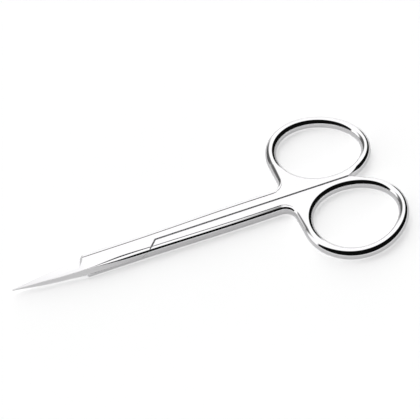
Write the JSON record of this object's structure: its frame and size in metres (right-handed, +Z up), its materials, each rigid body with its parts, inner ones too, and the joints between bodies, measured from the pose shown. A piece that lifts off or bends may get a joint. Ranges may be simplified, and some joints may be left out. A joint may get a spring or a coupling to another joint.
{
  "type": "cuticle scissors",
  "caption": "Slim straight cuticle scissors: two polished steel halves crossed in a half lap at a pivot screw, with tapered ground blades and oval finger rings.",
  "frame": {"origin": "bottom centre of the closed scissors, on the surface they lie on", "axes": "+X along the length, from the tips to the finger rings; +Y towards the upper half's ring; +Z up, square to the blades"},
  "size_m": [0.1, 0.0482, 0.0029],
  "materials": {
    "polished_steel": "mirror-polished stainless steel, with finely ground blade bevels",
    "screw_steel": "turned and polished stainless steel"
  },
  "bodies": {
    "lower": {"lower_half": "polished_steel"},
    "upper": {"upper_half": "polished_steel", "pivot_screw": "screw_steel"}
  },
  "joints": [
    {"name": "blade_pivot", "type": "hinge", "parent": "lower", "child": "upper", "pos_m": [-0.021, 0, 0], "axis": [0, 0, 1], "range_deg": [0, 60]}
  ]
}
